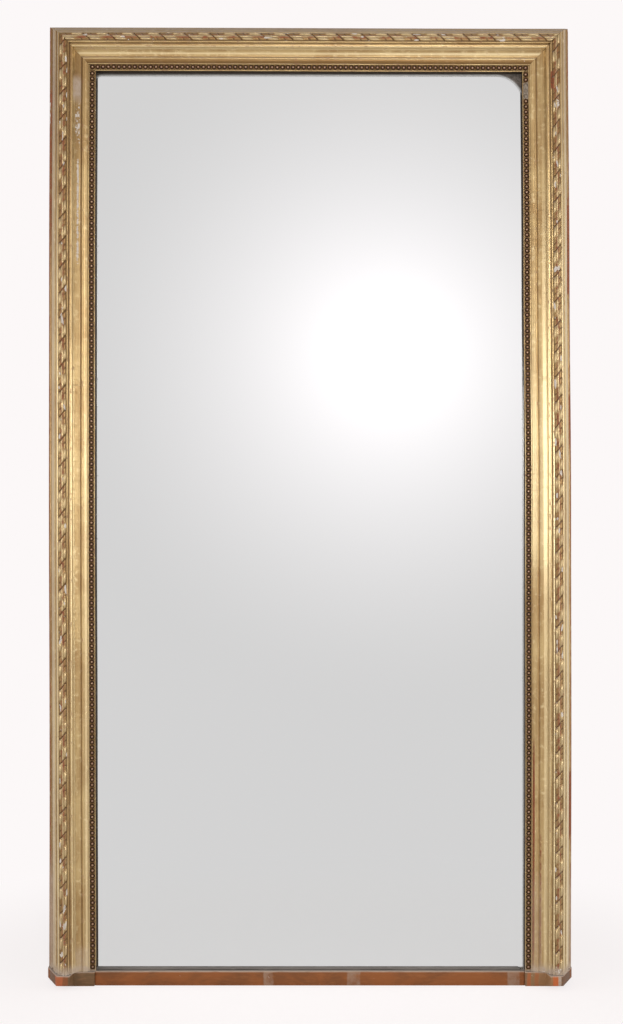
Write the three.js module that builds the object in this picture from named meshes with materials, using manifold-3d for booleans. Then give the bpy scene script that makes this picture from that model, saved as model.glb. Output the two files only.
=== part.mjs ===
// A tall gilt pier mirror: a mitred gilt moulding on three sides, a low painted rail with two plinth blocks at
// the foot, and a framed back-board behind the glass.
// Millimetres. +X is to the right of a viewer, +Z is up, and the glass faces -Y. The origin is on the floor, at
// the middle of the width and of the depth.
//
// Three measures place everything in a moulded side: u runs inwards from the outer edge of the frame, rise runs
// forwards from the face of the flat carcass, and s runs along the side. The sides follow each other round the
// frame: up the right, leftwards along the top, down the left. d is a distance forwards from the wall.
import * as THREE from 'three';
import { mergeVertices } from 'three/addons/utils/BufferGeometryUtils.js';
import Module from 'manifold-3d';

// ---- driving dimensions ----

const WIDTH = 985; // over the outer edges of the side mouldings
const HEIGHT = 1800;
const DEPTH = 77; // from the wall to the front of the plinth blocks
const GAP = 0.3; // left between two pieces that touch

const CARCASS = { width: 60, thickness: 12, tenonWidth: 30, tenonThickness: 6, tenonLength: 14 };
const SIGHT = 90.5; // width of the moulding, from its outer edge to the sight edge
const CREST = { from: 26.5, to: 43.5, bed: 56, top: 62 }; // bed of the ribbon ornament
const BEADS = { from: 79.8, to: 89.4, bed: 29.5, width: 8.6, height: 4.6 };
const FILLET_RISE = 50.5; // the flat fillet between crest and cove
const COVE = { from: 49, to: 65.5, foot: 34 };
const BAND = { from: 66, crest: 70, rise: 38.4, foot: 33.5 }; // the stepped band outside the beads

const GLASS = { thickness: 5, back: 23, rebate: 78, clearance: 3 };
const BOARD = { edge: 62, back: 7, thickness: 15.6, stile: 70, rail: 80, groove: 8, tongue: 6, rebate: 60 };

const RAIL = { height: 26.5, rebateFloor: 15.7, lipBack: 28.3, front: 44, endRise: 7, footInset: 14 };
const BLOCK = {
  proud: 1.5,
  edgeDepth: 16,
  outerFace: 24,
  innerFace: 47.5,
  shoulderDepth: 75,
  neck: 52,
  neckDepth: 49.5,
  innerDepth: 48,
  frontRise: 9, // the underside slopes up from the floor to this height at the front
};
const FOOT_FILLET = { depth: 8.2, height: 6.7, endCut: 6 };

const RIBBON = { width: 16, stick: 7.4, stickRise: 3.6, rise: 5.6 };
const PLATE = { width: 32, top: 8, bottom: 112, thickness: 3, keyhole: 96, slotTop: 83, fromMiddle: 300 };
const SCREW = { shank: 4, head: 8.6, headDepth: 2.6, slot: 1.1, slotDepth: 1.1 };

const WALL = DEPTH / 2; // y of the wall plane
const FOOT = RAIL.height + GAP; // z where the side mouldings stand
const HALF = WIDTH / 2;
const SIGHT_HALF = HALF - SIGHT;

// ---- the manifold library: joining and cutting ----

const wasm = await Module();
wasm.setup();

function solid(geometry) {
  const bare = geometry.clone();
  bare.deleteAttribute('normal');
  bare.deleteAttribute('uv');
  const merged = mergeVertices(bare, 1e-4);
  return new wasm.Manifold(new wasm.Mesh({
    numProp: 3,
    vertProperties: new Float32Array(merged.attributes.position.array),
    triVerts: new Uint32Array(merged.index.array),
  }));
}

function geometryOf(body) {
  const mesh = body.getMesh();
  const geometry = new THREE.BufferGeometry();
  geometry.setAttribute('position', new THREE.BufferAttribute(mesh.vertProperties, 3));
  geometry.setIndex(new THREE.BufferAttribute(mesh.triVerts, 1));
  const faceted = geometry.toNonIndexed();
  faceted.computeVertexNormals();
  return faceted;
}

function join(first, ...others) {
  return others.reduce((whole, other) => whole.add(solid(other)), solid(first));
}

function cut(body, ...tools) {
  return tools.reduce((whole, tool) => whole.subtract(solid(tool)), body);
}

// ---- basic shapes ----

// A box between two corners; its depth is given as distances d from the wall.
function block([x0, x1], [d0, d1], [z0, z1]) {
  const box = new THREE.BoxGeometry(x1 - x0, d1 - d0, z1 - z0);
  return box.translate((x0 + x1) / 2, WALL - (d0 + d1) / 2, (z0 + z1) / 2);
}

function polygon(points) {
  return new THREE.Shape(points.map(([x, y]) => new THREE.Vector2(x, y)));
}

function extrude(shape, length, curveSegments = 5) {
  return new THREE.ExtrudeGeometry(shape, { depth: length, steps: 1, bevelEnabled: false, curveSegments });
}

// A plan outline of [x, d] points, stood up between two heights.
function upright(points, [z0, z1]) {
  return extrude(polygon(points.map(([x, d]) => [x, WALL - d])), z1 - z0).translate(0, 0, z0);
}

// A section of [d, z] points, run along x.
function alongX(points, [x0, x1]) {
  const run = extrude(polygon(points.map(([d, z]) => [z, WALL - d])), x1 - x0);
  return run.applyMatrix4(new THREE.Matrix4().makeBasis(
    new THREE.Vector3(0, 0, 1),
    new THREE.Vector3(0, 1, 0),
    new THREE.Vector3(-1, 0, 0),
  )).translate(x1, 0, 0);
}

// A tool or piece turned about the y axis through (x, z), from a profile of [radius, d] points.
function turned(profile, x, z, segments) {
  const points = profile.map(([radius, d]) => new THREE.Vector2(radius, -d)).reverse();
  const lathe = new THREE.LatheGeometry(points, segments);
  return lathe.translate(x, WALL, z);
}

// Closed skin through equal rings of points, with a flat cap at each end.
function loft(rings) {
  const sides = rings[0].length;
  const index = [];
  for (let r = 0; r + 1 < rings.length; r += 1) {
    for (let i = 0; i < sides; i += 1) {
      const j = (i + 1) % sides;
      const here = r * sides;
      const next = here + sides;
      index.push(here + i, here + j, next + j, here + i, next + j, next + i);
    }
  }
  const last = (rings.length - 1) * sides;
  for (let i = 1; i + 1 < sides; i += 1) {
    index.push(0, i + 1, i, last, last + i, last + i + 1);
  }
  const geometry = new THREE.BufferGeometry();
  geometry.setAttribute('position', new THREE.Float32BufferAttribute(rings.flat(2), 3));
  geometry.setIndex(index);
  return geometry;
}

// ---- materials ----

function finish(color, roughness, metalness) {
  return () => new THREE.MeshStandardMaterial({ color, roughness, metalness });
}

const gilt = finish(0xd8b36c, 0.42, 0.75);
const giltOrnament = finish(0xc99f5e, 0.45, 0.7);
const giltBeads = finish(0xb08a55, 0.45, 0.7);
const terracotta = finish(0x96592f, 0.7, 0);
const plinthPaint = finish(0x8a5c3a, 0.75, 0);
const darkFillet = finish(0x6b6864, 0.7, 0);
const pine = finish(0xb48a5a, 0.8, 0);
const panelPine = finish(0xa87f52, 0.8, 0);
const beech = finish(0xc49a6c, 0.7, 0);
const silvered = finish(0xdcdcdc, 0.03, 1);
const wroughtIron = finish(0x4a4641, 0.55, 0.85);
const screwSteel = finish(0x6a655d, 0.45, 0.9);

function mesh(name, geometry, material) {
  const piece = new THREE.Mesh(geometry, material());
  piece.name = name;
  return piece;
}

// ---- the gilt sides ----

const SIDES = {
  left: { u: [1, 0, 0], s: [0, 0, -1], origin: [-HALF, HEIGHT], length: HEIGHT - FOOT, mitres: [true, false] },
  right: { u: [-1, 0, 0], s: [0, 0, 1], origin: [HALF, FOOT], length: HEIGHT - FOOT, mitres: [false, true] },
  top: { u: [0, 0, -1], s: [-1, 0, 0], origin: [HALF, HEIGHT], length: WIDTH, mitres: [true, true] },
};

// The ribbon crosses its stick once in every pitch; first is the s of the first crossing.
const RIBBON_RUN = {
  left: { first: 42, pitch: 46 },
  right: { first: 0.5, pitch: 46.5 },
  top: { first: 55.5, pitch: 47.4 },
};

// The top row holds the two corner beads, and the side rows butt against it.
const BEAD_RUN = {
  left: { from: BEADS.to + GAP, to: SIDES.left.length, count: 168 },
  right: { from: 0, to: SIDES.right.length - BEADS.to - GAP, count: 168 },
  top: { from: BEADS.from, to: WIDTH - BEADS.from, count: 80 },
};

function placed(side, group) {
  const { u, s, origin } = SIDES[side];
  group.applyMatrix4(new THREE.Matrix4().makeBasis(
    new THREE.Vector3(...u),
    new THREE.Vector3(0, -1, 0),
    new THREE.Vector3(...s),
  ).setPosition(origin[0], WALL - CARCASS.thickness, origin[1]));
  return group;
}

// Runs a section of [u, rise] along s, with its ends square or mitred at 45 degrees.
function run(side, shape) {
  const { length, mitres } = SIDES[side];
  const geometry = extrude(shape, length);
  const position = geometry.attributes.position;
  for (let i = 0; i < position.count; i += 1) {
    const u = position.getX(i);
    const s = position.getZ(i);
    const atStart = s < length / 2;
    if (atStart && mitres[0]) position.setZ(i, u + GAP);
    if (!atStart && mitres[1]) position.setZ(i, length - u - GAP);
  }
  return geometry;
}

// Outer edge, steep outer face with its groove, crest, fillet, cove, stepped band, bead bed and sight edge; then
// the two rebates at the back, a narrow deep one for the glass and a wide shallow one for the back-board.
function mouldingSection() {
  const glassFace = GLASS.back + GLASS.thickness + GAP - CARCASS.thickness;
  const boardFace = BOARD.back + BOARD.thickness + GAP - CARCASS.thickness;
  const shape = new THREE.Shape();
  shape.moveTo(0, GAP);
  shape.lineTo(0, 3);
  shape.quadraticCurveTo(1.5, 9.5, 7, 12);
  shape.quadraticCurveTo(9.5, 31, 17.5, 44);
  shape.lineTo(19.5, 44.6);
  shape.lineTo(21, 48.6);
  shape.quadraticCurveTo(22, 54.5, CREST.from - 0.7, CREST.bed + 0.8);
  shape.lineTo(CREST.from, CREST.bed);
  shape.lineTo(CREST.to, CREST.bed);
  shape.lineTo(CREST.to + 0.6, FILLET_RISE);
  shape.lineTo(COVE.from, FILLET_RISE);
  shape.quadraticCurveTo(COVE.from + 2, COVE.foot + 1, COVE.to, COVE.foot);
  shape.lineTo(BAND.from, BAND.rise - 0.5);
  shape.lineTo(BAND.crest, BAND.rise);
  shape.lineTo(BEADS.from - 0.8, BAND.foot);
  shape.lineTo(BEADS.from - 0.2, BEADS.bed);
  shape.lineTo(BEADS.to, BEADS.bed);
  shape.lineTo(SIGHT, BEADS.bed);
  shape.lineTo(SIGHT, glassFace);
  shape.lineTo(GLASS.rebate, glassFace);
  shape.lineTo(GLASS.rebate, boardFace);
  shape.lineTo(BOARD.rebate, boardFace);
  shape.lineTo(BOARD.rebate, GAP);
  return shape;
}

// One turn of the flat ribbon, seen from the front: it comes out from behind the stick on the inner side, slants
// across it and dives behind it on the outer side.
function ribbonTurn(middle, at, pitch) {
  const half = RIBBON.width / 2;
  const across = [
    [0.72, -0.5],
    [0.98, -0.28],
    [0.82, -0.08],
    [-0.38, 0.2],
  ];
  const outline = [...across, ...across.map(([u, s]) => [-u, -s])];
  const turn = extrude(polygon(outline.map(([u, s]) => [middle + u * half, at + s * pitch])), RIBBON.rise);
  return turn.rotateX(Math.PI / 2).translate(0, CREST.bed + GAP + RIBBON.rise, 0);
}

function ribbonAndStick(side) {
  const { first, pitch } = RIBBON_RUN[side];
  const { length } = SIDES[side];
  const middle = (CREST.from + CREST.to) / 2;
  const base = CREST.bed + GAP;
  const half = RIBBON.stick / 2;
  let ornament = solid(run(side, polygon([
    [middle - half, base],
    [middle - half * 0.6, base + RIBBON.stickRise],
    [middle + half * 0.6, base + RIBBON.stickRise],
    [middle + half, base],
  ])));
  for (let at = first; at < length; at += pitch) {
    ornament = ornament.add(solid(ribbonTurn(middle, at, pitch)));
  }
  const bounds = run(side, polygon([
    [CREST.from, base - GAP],
    [CREST.from, CREST.top + RIBBON.rise],
    [CREST.to, CREST.top + RIBBON.rise],
    [CREST.to, base - GAP],
  ]));
  return geometryOf(ornament.intersect(solid(bounds)));
}

// The bead row: a swelling ring at each bead and a pinched one between two beads.
function beadRow(side) {
  const { from, to, count } = BEAD_RUN[side];
  const middle = (BEADS.from + BEADS.to) / 2;
  const base = BEADS.bed + GAP;
  const pitch = (to - from) / count;
  const ring = (s, swell) => {
    const half = BEADS.width / 2 * swell;
    const rise = BEADS.height * swell;
    return [
      [middle + half, base, s],
      [middle + half * 0.55, base + rise, s],
      [middle - half * 0.55, base + rise, s],
      [middle - half, base, s],
    ];
  };
  const rings = [ring(from, 0.4)];
  for (let i = 0; i < count; i += 1) {
    rings.push(ring(from + (i + 0.5) * pitch, 1));
    rings.push(ring(from + (i + 1) * pitch, 0.4));
  }
  return loft(rings);
}

// A flat key let into the backs of two mouldings, square across their mitre.
const MITRE_KEY = { length: 50, width: 16, thickness: 5, corner: 30 };

function mitreKey(hand, clearance) {
  const size = (measure) => measure + 2 * clearance;
  const key = new THREE.BoxGeometry(size(MITRE_KEY.length), MITRE_KEY.thickness + clearance, size(MITRE_KEY.width));
  const back = CARCASS.thickness + GAP;
  key.rotateY(hand * Math.PI / 4);
  return key.translate(
    hand * (HALF - MITRE_KEY.corner),
    WALL - back - (MITRE_KEY.thickness + clearance) / 2,
    HEIGHT - MITRE_KEY.corner,
  );
}

// ---- screws, and the places of those in the back-board ----

const BOARD_SCREW = { length: 25, fromEdge: 70, heights: [330, 900, 1470], across: 200 };
const HANGER_SCREW = { length: 11, places: [[-9, 18], [9, 18], [0, 46]] };

const BOARD_SCREWS = [
  ...[-1, 1].flatMap((hand) => BOARD_SCREW.heights.map((z) => [hand * (HALF - BOARD_SCREW.fromEdge), z])),
  ...[-1, 1].map((hand) => [hand * BOARD_SCREW.across, HEIGHT - BOARD_SCREW.fromEdge]),
];

// A slotted countersunk screw, its head flush at depth d and its point forwards.
function screw(x, z, d, length) {
  const shank = SCREW.shank / 2;
  const body = solid(turned([
    [0, d],
    [SCREW.head / 2, d],
    [shank, d + SCREW.headDepth],
    [shank, d + length - 2.5],
    [0, d + length],
  ], x, z, 10));
  const slot = block([x - SCREW.head, x + SCREW.head], [d - 1, d + SCREW.slotDepth],
    [z - SCREW.slot / 2, z + SCREW.slot / 2]);
  return geometryOf(cut(body, slot));
}

// The hole for such a screw: a countersink at depth d and a bore down to its point.
function screwHole(x, z, d, length) {
  const bore = SCREW.shank / 2 + GAP;
  const mouth = SCREW.head / 2 + GAP;
  return turned([
    [0, d - 1],
    [mouth, d - 1],
    [mouth, d],
    [bore, d + SCREW.headDepth],
    [bore, d + length + GAP],
    [0, d + length + GAP],
  ], x, z, 10);
}

// ---- the carcass ----

function tenon(hand, clearance) {
  const middle = hand * (HALF - CARCASS.width / 2);
  const half = CARCASS.tenonWidth / 2 + clearance;
  const depth = CARCASS.thickness / 2;
  const thick = CARCASS.tenonThickness / 2 + clearance;
  return block([middle - half, middle + half], [depth - thick, depth + thick],
    [FOOT - CARCASS.tenonLength - clearance, FOOT + 1]);
}

// A stile is tenoned into the base rail, and its top is halved over the end of the top rail.
function stile(hand) {
  const outer = hand * HALF;
  const inner = hand * (HALF - CARCASS.width);
  const across = [Math.min(outer, inner), Math.max(outer, inner)];
  const lapped = CARCASS.thickness / 2 - GAP / 2;
  const post = join(block(across, [0, CARCASS.thickness], [FOOT, HEIGHT]), tenon(hand, 0));
  const lap = block([across[0] - 1, across[1] + 1], [lapped, CARCASS.thickness + 1],
    [HEIGHT - CARCASS.width - GAP, HEIGHT + 1]);
  return geometryOf(cut(post, lap));
}

function topRail() {
  const lapped = CARCASS.thickness / 2 + GAP / 2;
  const low = HEIGHT - CARCASS.width;
  const rail = solid(block([-HALF, HALF], [0, CARCASS.thickness], [low, HEIGHT]));
  const laps = [-1, 1].map((hand) => {
    const shoulder = HALF - CARCASS.width - GAP;
    const across = hand < 0 ? [-HALF - 1, -shoulder] : [shoulder, HALF + 1];
    return block(across, [-1, lapped], [low - 1, HEIGHT + 1]);
  });
  const pockets = [-1, 1].map((hand) => block(
    [hand * PLATE.fromMiddle - PLATE.width / 2 - GAP, hand * PLATE.fromMiddle + PLATE.width / 2 + GAP],
    [-1, PLATE.thickness + GAP],
    [low - 1, HEIGHT - PLATE.top + GAP],
  ));
  const holes = HANGER_PLATES.flatMap(({ screws }) => screws.map(([x, z]) => screwHole(x, z, 0, HANGER_SCREW.length)));
  return geometryOf(cut(rail, ...laps, ...pockets, ...holes));
}

const HANGER_PLATES = [-1, 1].map((hand) => ({
  name: hand < 0 ? 'left' : 'right',
  middle: hand * PLATE.fromMiddle,
  screws: HANGER_SCREW.places.map(([x, fromTop]) => [hand * PLATE.fromMiddle + x, HEIGHT - fromTop]),
}));

// ---- the foot: base rail, plinth blocks and the fillet under the glass ----

// Distance u of the block's slanting outer face at depth d.
function outerFace(d) {
  const slope = (BLOCK.outerFace + BLOCK.proud) / (BLOCK.shoulderDepth - BLOCK.edgeDepth);
  return -BLOCK.proud + (d - BLOCK.edgeDepth) * slope;
}

// The rail is rebated along its back for the glass and the back-board. Its ends rise clear of the floor and
// follow the slant of the plinth blocks in front of them.
function baseRail() {
  const foot = HALF - RAIL.footInset;
  const lip = SIGHT_HALF - GAP;
  const slab = block([-foot, foot], [0, RAIL.lipBack], [0, RAIL.rebateFloor]);
  const rooted = [RAIL.lipBack / 2, RAIL.rebateFloor / 2]; // how far the front reaches back into the slab
  const front = alongX([
    [rooted[0], 0],
    [RAIL.front, 0],
    [RAIL.front, RAIL.height],
    [RAIL.lipBack, RAIL.height],
    [RAIL.lipBack, rooted[1]],
    rooted,
  ], [-lip, lip]);
  const ends = [-1, 1].map((hand) => {
    const at = (u) => hand * (HALF - u);
    return upright([
      [at(-BLOCK.proud), 0],
      [at(-BLOCK.proud), BLOCK.edgeDepth],
      [at(outerFace(RAIL.lipBack)), RAIL.lipBack],
      [at(CARCASS.width), RAIL.lipBack],
      [at(CARCASS.width), 0],
    ], [RAIL.endRise, RAIL.height]);
  });
  return geometryOf(cut(join(slab, front, ...ends), tenon(-1, GAP), tenon(1, GAP)));
}

// The block stands on the floor under the cove. Its underside rises under the crest, and its outer end is raised
// as the end of the rail is.
function plinthBlock(hand) {
  const at = (u) => hand * (HALF - u);
  const back = RAIL.lipBack + GAP;
  const whole = solid(upright([
    [at(outerFace(back)), back],
    [at(BLOCK.outerFace), BLOCK.shoulderDepth],
    [at(BLOCK.innerFace), DEPTH],
    [at(BLOCK.neck), BLOCK.neckDepth],
    [at(SIGHT), BLOCK.innerDepth],
    [at(SIGHT), back],
  ], [0, RAIL.height]));
  const slope = BLOCK.frontRise / (DEPTH - BLOCK.innerDepth);
  const under = alongX([
    [BLOCK.innerDepth - 1 / slope, -1],
    [DEPTH + 1, -1],
    [DEPTH + 1, BLOCK.frontRise + slope],
  ], [at(SIGHT + 1), at(-BLOCK.proud - 1)].sort((a, b) => a - b));
  const end = block(
    [at(BLOCK.outerFace), at(-BLOCK.proud - 1)].sort((a, b) => a - b),
    [0, DEPTH + 1],
    [-1, RAIL.endRise],
  );
  return geometryOf(cut(whole, under, end));
}

// A quarter-round strip on the rail, against the glass. Its right end is cut on the slant, short of the corner.
function footFillet() {
  const back = RAIL.lipBack;
  const front = back + FOOT_FILLET.depth;
  const top = FOOT + FOOT_FILLET.height;
  const ends = [-SIGHT_HALF + GAP, SIGHT_HALF - FOOT_FILLET.endCut];
  const strip = solid(alongX([
    [back, FOOT],
    [front, FOOT],
    [front, FOOT + FOOT_FILLET.height * 0.45],
    [front - FOOT_FILLET.depth * 0.2, top - FOOT_FILLET.height * 0.18],
    [front - FOOT_FILLET.depth * 0.5, top],
    [back, top],
  ], ends));
  const slant = extrude(polygon([
    [ends[1] - FOOT_FILLET.height, top + 1],
    [ends[1] + 1, top + 1],
    [ends[1] + 1, FOOT - 1],
  ]), front - back + 2).rotateX(Math.PI / 2).translate(0, WALL - back + 1, 0);
  return geometryOf(strip.subtract(solid(slant)));
}

// ---- glass and its packing ----

function mirrorPlate() {
  const half = HALF - GLASS.rebate - GLASS.clearance;
  const low = RAIL.rebateFloor + GLASS.clearance;
  const high = HEIGHT - GLASS.rebate - GLASS.clearance;
  return block([-half, half], [GLASS.back, GLASS.back + GLASS.thickness], [low, high]);
}

// Thin wedges fill the clearance round the glass: two at each edge.
function packingPieces() {
  const length = 40;
  const thick = GLASS.clearance - 2 * GAP;
  const depth = [GLASS.back + GAP, GLASS.back + GLASS.thickness - GAP];
  const edge = HALF - GLASS.rebate - GAP;
  const floor = RAIL.rebateFloor + GAP;
  const ceiling = HEIGHT - GLASS.rebate - GAP;
  const pieces = [];
  for (const [word, hand] of [['left', -1], ['right', 1]]) {
    const across = hand < 0 ? [-edge, -edge + thick] : [edge - thick, edge];
    const low = hand * 250;
    for (const [height, z] of [['lower', 400], ['upper', 1400]]) {
      pieces.push([`glass_packing_${word}_${height}`, block(across, depth, [z, z + length])]);
    }
    const along = [low - length / 2, low + length / 2];
    pieces.push([`glass_packing_bottom_${word}`, block(along, depth, [floor, floor + thick])]);
    pieces.push([`glass_packing_top_${word}`, block(along, depth, [ceiling - thick, ceiling])]);
  }
  return pieces.map(([name, geometry]) => mesh(name, geometry, beech));
}

// ---- the framed back-board ----

const BOARD_HALF = HALF - BOARD.edge;
const BOARD_LOW = RAIL.rebateFloor + GAP;
const BOARD_HIGH = HEIGHT - BOARD.edge;
const BOARD_BAYS = 3;
const BAY = (BOARD_HIGH - BOARD_LOW - (BOARD_BAYS + 1) * BOARD.rail) / BOARD_BAYS;
const RAIL_NAMES = ['bottom', 'lower', 'upper', 'top'];
const BOARD_MIDDLE = BOARD.back + BOARD.thickness / 2;

function boardStile(hand) {
  const at = (x) => hand * (BOARD_HALF - x);
  const groove = BOARD.tongue / 2 + GAP;
  const front = BOARD.back + BOARD.thickness;
  const post = solid(upright([
    [at(0), BOARD.back],
    [at(0), front],
    [at(BOARD.stile), front],
    [at(BOARD.stile), BOARD_MIDDLE + groove],
    [at(BOARD.stile - BOARD.groove), BOARD_MIDDLE + groove],
    [at(BOARD.stile - BOARD.groove), BOARD_MIDDLE - groove],
    [at(BOARD.stile), BOARD_MIDDLE - groove],
    [at(BOARD.stile), BOARD.back],
  ], [BOARD_LOW, BOARD_HIGH]));
  const holes = BOARD_SCREWS.filter(([x]) => x * hand > BOARD_HALF - BOARD.stile);
  return geometryOf(cut(post, ...holes.map(([x, z]) => screwHole(x, z, BOARD.back, BOARD_SCREW.length))));
}

// A rail runs between the stiles, with a tongue at each end, and is grooved where it meets a panel.
function boardRail(place) {
  const low = BOARD_LOW + place * (BAY + BOARD.rail);
  const high = low + BOARD.rail;
  const groove = BOARD.tongue / 2 + GAP;
  const half = BOARD_HALF - BOARD.stile - GAP;
  const front = BOARD.back + BOARD.thickness;
  const grooveInto = (edge, inwards) => [
    [BOARD_MIDDLE + groove * inwards, edge],
    [BOARD_MIDDLE + groove * inwards, edge + inwards * BOARD.groove],
    [BOARD_MIDDLE - groove * inwards, edge + inwards * BOARD.groove],
    [BOARD_MIDDLE - groove * inwards, edge],
  ];
  const section = [
    [BOARD.back, low],
    ...(place > 0 ? grooveInto(low, 1).reverse() : []),
    [front, low],
    [front, high],
    ...(place < BOARD_BAYS ? grooveInto(high, -1).reverse() : []),
    [BOARD.back, high],
  ];
  const tongue = BOARD.groove - GAP;
  const tongues = block([-half - tongue, half + tongue],
    [BOARD_MIDDLE - BOARD.tongue / 2, BOARD_MIDDLE + BOARD.tongue / 2],
    [low + BOARD.groove + GAP, high - BOARD.groove - GAP]);
  const holes = BOARD_SCREWS.filter(([x, z]) => Math.abs(x) < half && z > low && z < high);
  const rail = join(alongX(section, [-half, half]), tongues);
  return geometryOf(cut(rail, ...holes.map(([x, z]) => screwHole(x, z, BOARD.back, BOARD_SCREW.length))));
}

// A panel is fielded on both faces: thick in the middle, bevelled down to a tongue that sits in the grooves.
function boardPanel(place) {
  const bevel = 34;
  const fieldRise = 3;
  const edge = BOARD.tongue - 1.4; // the bevel starts at the very edge, inside the groove
  const reach = BOARD.groove - 2 * GAP;
  const width = 2 * (BOARD_HALF - BOARD.stile + reach);
  const height = BAY + 2 * reach;
  const field = polygon([
    [-width / 2 + bevel, -height / 2 + bevel],
    [width / 2 - bevel, -height / 2 + bevel],
    [width / 2 - bevel, height / 2 - bevel],
    [-width / 2 + bevel, height / 2 - bevel],
  ]);
  const panel = new THREE.ExtrudeGeometry(field, {
    depth: edge,
    steps: 1,
    bevelEnabled: true,
    bevelThickness: fieldRise,
    bevelSize: bevel,
    bevelSegments: 1,
  });
  const middle = BOARD_LOW + BOARD.rail + place * (BAY + BOARD.rail) + BAY / 2;
  return panel.translate(0, 0, -edge / 2).rotateX(Math.PI / 2).translate(0, WALL - BOARD_MIDDLE, middle);
}

// ---- the keyhole hanger plates ----

// An iron plate let in flush across the top rail. Its lower end hangs free behind the back-board, with a keyhole
// that drops over a screw head in the wall.
function hangerPlate({ middle, screws }) {
  const half = PLATE.width / 2;
  const top = HEIGHT - PLATE.top;
  const bottom = HEIGHT - PLATE.bottom;
  const headRadius = 6.5;
  const slotRadius = 3;
  const outline = new THREE.Shape();
  outline.moveTo(middle - half, top);
  outline.lineTo(middle - half, bottom + half);
  outline.absarc(middle, bottom + half, half, Math.PI, 2 * Math.PI, false);
  outline.lineTo(middle + half, top);
  const keyhole = new THREE.Path();
  const turn = Math.asin(slotRadius / headRadius);
  keyhole.absarc(middle, HEIGHT - PLATE.keyhole, headRadius, Math.PI / 2 + turn, Math.PI / 2 - turn + 2 * Math.PI, false);
  keyhole.absarc(middle, HEIGHT - PLATE.slotTop, slotRadius, 0, Math.PI, false);
  outline.holes.push(keyhole);
  const plate = solid(extrude(outline, PLATE.thickness, 6).rotateX(Math.PI / 2).translate(0, WALL, 0));
  return geometryOf(cut(plate, ...screws.map(([x, z]) => screwHole(x, z, 0, HANGER_SCREW.length))));
}

// ---- assembly ----

function giltSide(side) {
  const group = new THREE.Group();
  group.add(mesh(`ribbon_${side}`, ribbonAndStick(side), giltOrnament));
  group.add(mesh(`beads_${side}`, beadRow(side), giltBeads));
  return placed(side, group);
}

// The moulding is cut in the frame's own axes, where the keys and the back-board's screws lie.
function moulding(side) {
  const body = placed(side, new THREE.Group());
  body.updateMatrixWorld(true);
  const whole = run(side, mouldingSection()).applyMatrix4(body.matrixWorld);
  const near = BOARD_SCREWS.filter(([x, z]) => {
    const over = z > HEIGHT - SIGHT;
    if (side === 'top') return over;
    return !over && (side === 'left' ? x < 0 : x > 0);
  });
  const keys = { left: [-1], right: [1], top: [-1, 1] }[side];
  const holes = near.map(([x, z]) => screwHole(x, z, BOARD.back, BOARD_SCREW.length));
  return geometryOf(cut(solid(whole), ...keys.map((hand) => mitreKey(hand, GAP)), ...holes));
}

const mirror = new THREE.Group();
for (const side of ['left', 'right', 'top']) {
  mirror.add(mesh(`moulding_${side}`, moulding(side), gilt));
  mirror.add(giltSide(side));
}
for (const [word, hand] of [['left', -1], ['right', 1]]) {
  mirror.add(mesh(`stile_${word}`, stile(hand), pine));
  mirror.add(mesh(`plinth_block_${word}`, plinthBlock(hand), plinthPaint));
  mirror.add(mesh(`mitre_key_${word}`, mitreKey(hand, 0), beech));
  mirror.add(mesh(`parquet_stile_${word}`, boardStile(hand), pine));
}
mirror.add(mesh('top_rail', topRail(), pine));
mirror.add(mesh('base_rail', baseRail(), terracotta));
mirror.add(mesh('bottom_fillet', footFillet(), darkFillet));
mirror.add(mesh('mirror_plate', mirrorPlate(), silvered));
mirror.add(...packingPieces());
RAIL_NAMES.forEach((word, place) => mirror.add(mesh(`parquet_rail_${word}`, boardRail(place), pine)));
for (let place = 0; place < BOARD_BAYS; place += 1) {
  mirror.add(mesh(`parquet_panel_${place + 1}`, boardPanel(place), panelPine));
}
BOARD_SCREWS.forEach(([x, z], i) => {
  mirror.add(mesh(`parquet_screw_${i + 1}`, screw(x, z, BOARD.back, BOARD_SCREW.length), screwSteel));
});
for (const plate of HANGER_PLATES) {
  mirror.add(mesh(`hanger_plate_${plate.name}`, hangerPlate(plate), wroughtIron));
  plate.screws.forEach(([x, z], i) => {
    mirror.add(mesh(`hanger_screw_${plate.name}_${i + 1}`, screw(x, z, 0, HANGER_SCREW.length), screwSteel));
  });
}

export default mirror;
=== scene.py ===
"""Looks of a tall gilt pier mirror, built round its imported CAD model.

Metres. +X is to the right of a viewer, +Z is up, and the glass faces -Y. Lengths written in millimetres are
multiplied by MM where they are used. Three measures place everything in a moulded side: across runs inwards from
the outer edge of the frame, rise runs forwards from the face of the flat carcass, and along runs down the left
side, leftwards along the top and up the right side.
"""
import math

import bmesh
import bpy
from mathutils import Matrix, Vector, noise


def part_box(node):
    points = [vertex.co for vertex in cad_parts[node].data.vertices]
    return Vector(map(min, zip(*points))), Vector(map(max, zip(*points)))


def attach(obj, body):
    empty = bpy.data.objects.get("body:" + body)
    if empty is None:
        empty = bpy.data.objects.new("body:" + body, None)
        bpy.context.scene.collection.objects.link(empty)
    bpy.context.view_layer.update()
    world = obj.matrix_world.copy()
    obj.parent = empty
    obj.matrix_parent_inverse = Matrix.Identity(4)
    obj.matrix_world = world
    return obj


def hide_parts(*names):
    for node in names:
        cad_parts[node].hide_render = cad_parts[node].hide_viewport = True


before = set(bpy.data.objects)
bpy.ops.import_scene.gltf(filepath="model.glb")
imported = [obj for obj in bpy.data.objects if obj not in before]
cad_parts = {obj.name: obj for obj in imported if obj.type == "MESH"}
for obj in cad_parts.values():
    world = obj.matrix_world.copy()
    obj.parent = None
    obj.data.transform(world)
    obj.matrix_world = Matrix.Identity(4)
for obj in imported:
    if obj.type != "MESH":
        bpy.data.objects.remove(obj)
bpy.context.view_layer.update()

MM = 0.001
ROOT = "root"

# ---- places taken from the frame ----

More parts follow.
